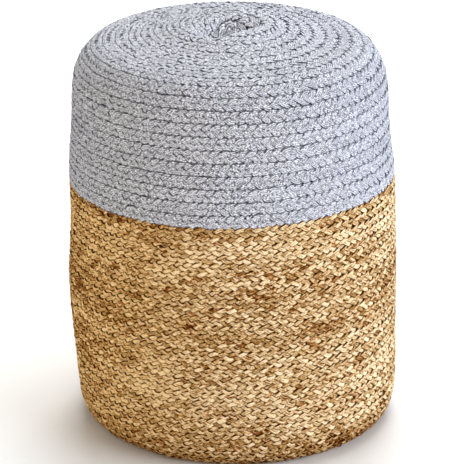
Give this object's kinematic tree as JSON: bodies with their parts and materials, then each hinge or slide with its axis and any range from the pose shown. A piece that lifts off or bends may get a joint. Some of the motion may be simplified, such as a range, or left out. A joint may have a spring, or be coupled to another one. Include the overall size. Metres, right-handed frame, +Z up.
{
  "type": "jute pouf",
  "caption": "Round stuffed floor pouf with a pale braided cotton crown sewn to a braided natural jute body, used as a footstool, low seat or side table.",
  "frame": {"origin": "centre of the bounding box on the surface that the pouf stands on", "axes": "+Z up, front towards -Y, +X to the right seen from the front"},
  "size_m": [0.3596, 0.3585, 0.4489],
  "materials": {
    "pale_cotton": "matt plaited cotton yarn, blue-grey",
    "natural_jute": "dry plaited jute fibre, straw to rusty brown"
  },
  "bodies": {
    "root": {"pale_cover": "pale_cotton", "jute_cover": "natural_jute"}
  },
  "joints": []
}
